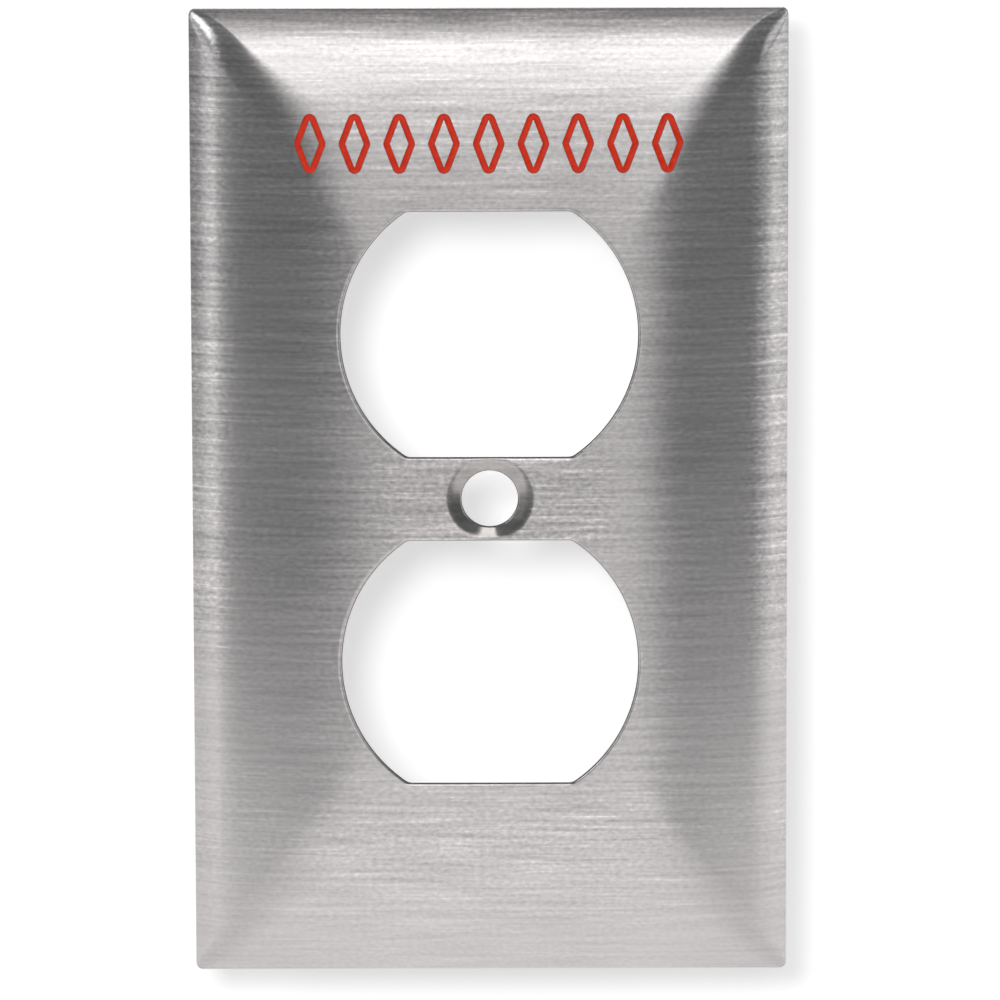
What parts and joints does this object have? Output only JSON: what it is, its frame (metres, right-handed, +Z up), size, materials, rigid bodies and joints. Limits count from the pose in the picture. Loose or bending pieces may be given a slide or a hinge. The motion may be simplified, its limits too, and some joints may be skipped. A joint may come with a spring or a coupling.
{
  "type": "duplex receptacle wall plate",
  "caption": "Stamped stainless steel cover with rounded receptacle openings and a dimpled central screw hole, and a row of red enamel filled lozenge marks.",
  "frame": {"origin": "where the axis of the central screw hole meets the wall plane that the rim stands on", "axes": "+Z up the plate as installed, the front faces -Y towards the room, +Y into the wall, +X to the right as seen from the room"},
  "size_m": [0.0698, 0.0056, 0.1142],
  "materials": {
    "brushed_stainless": "satin, fine horizontal brushed grain",
    "red_enamel": "semi-gloss enamel fill"
  },
  "bodies": {
    "root": {"wall_plate": "brushed_stainless", "enamel_fill_1": "red_enamel", "enamel_fill_2": "red_enamel", "enamel_fill_3": "red_enamel", "enamel_fill_4": "red_enamel", "enamel_fill_5": "red_enamel", "enamel_fill_6": "red_enamel", "enamel_fill_7": "red_enamel", "enamel_fill_8": "red_enamel", "enamel_fill_9": "red_enamel"}
  },
  "joints": []
}
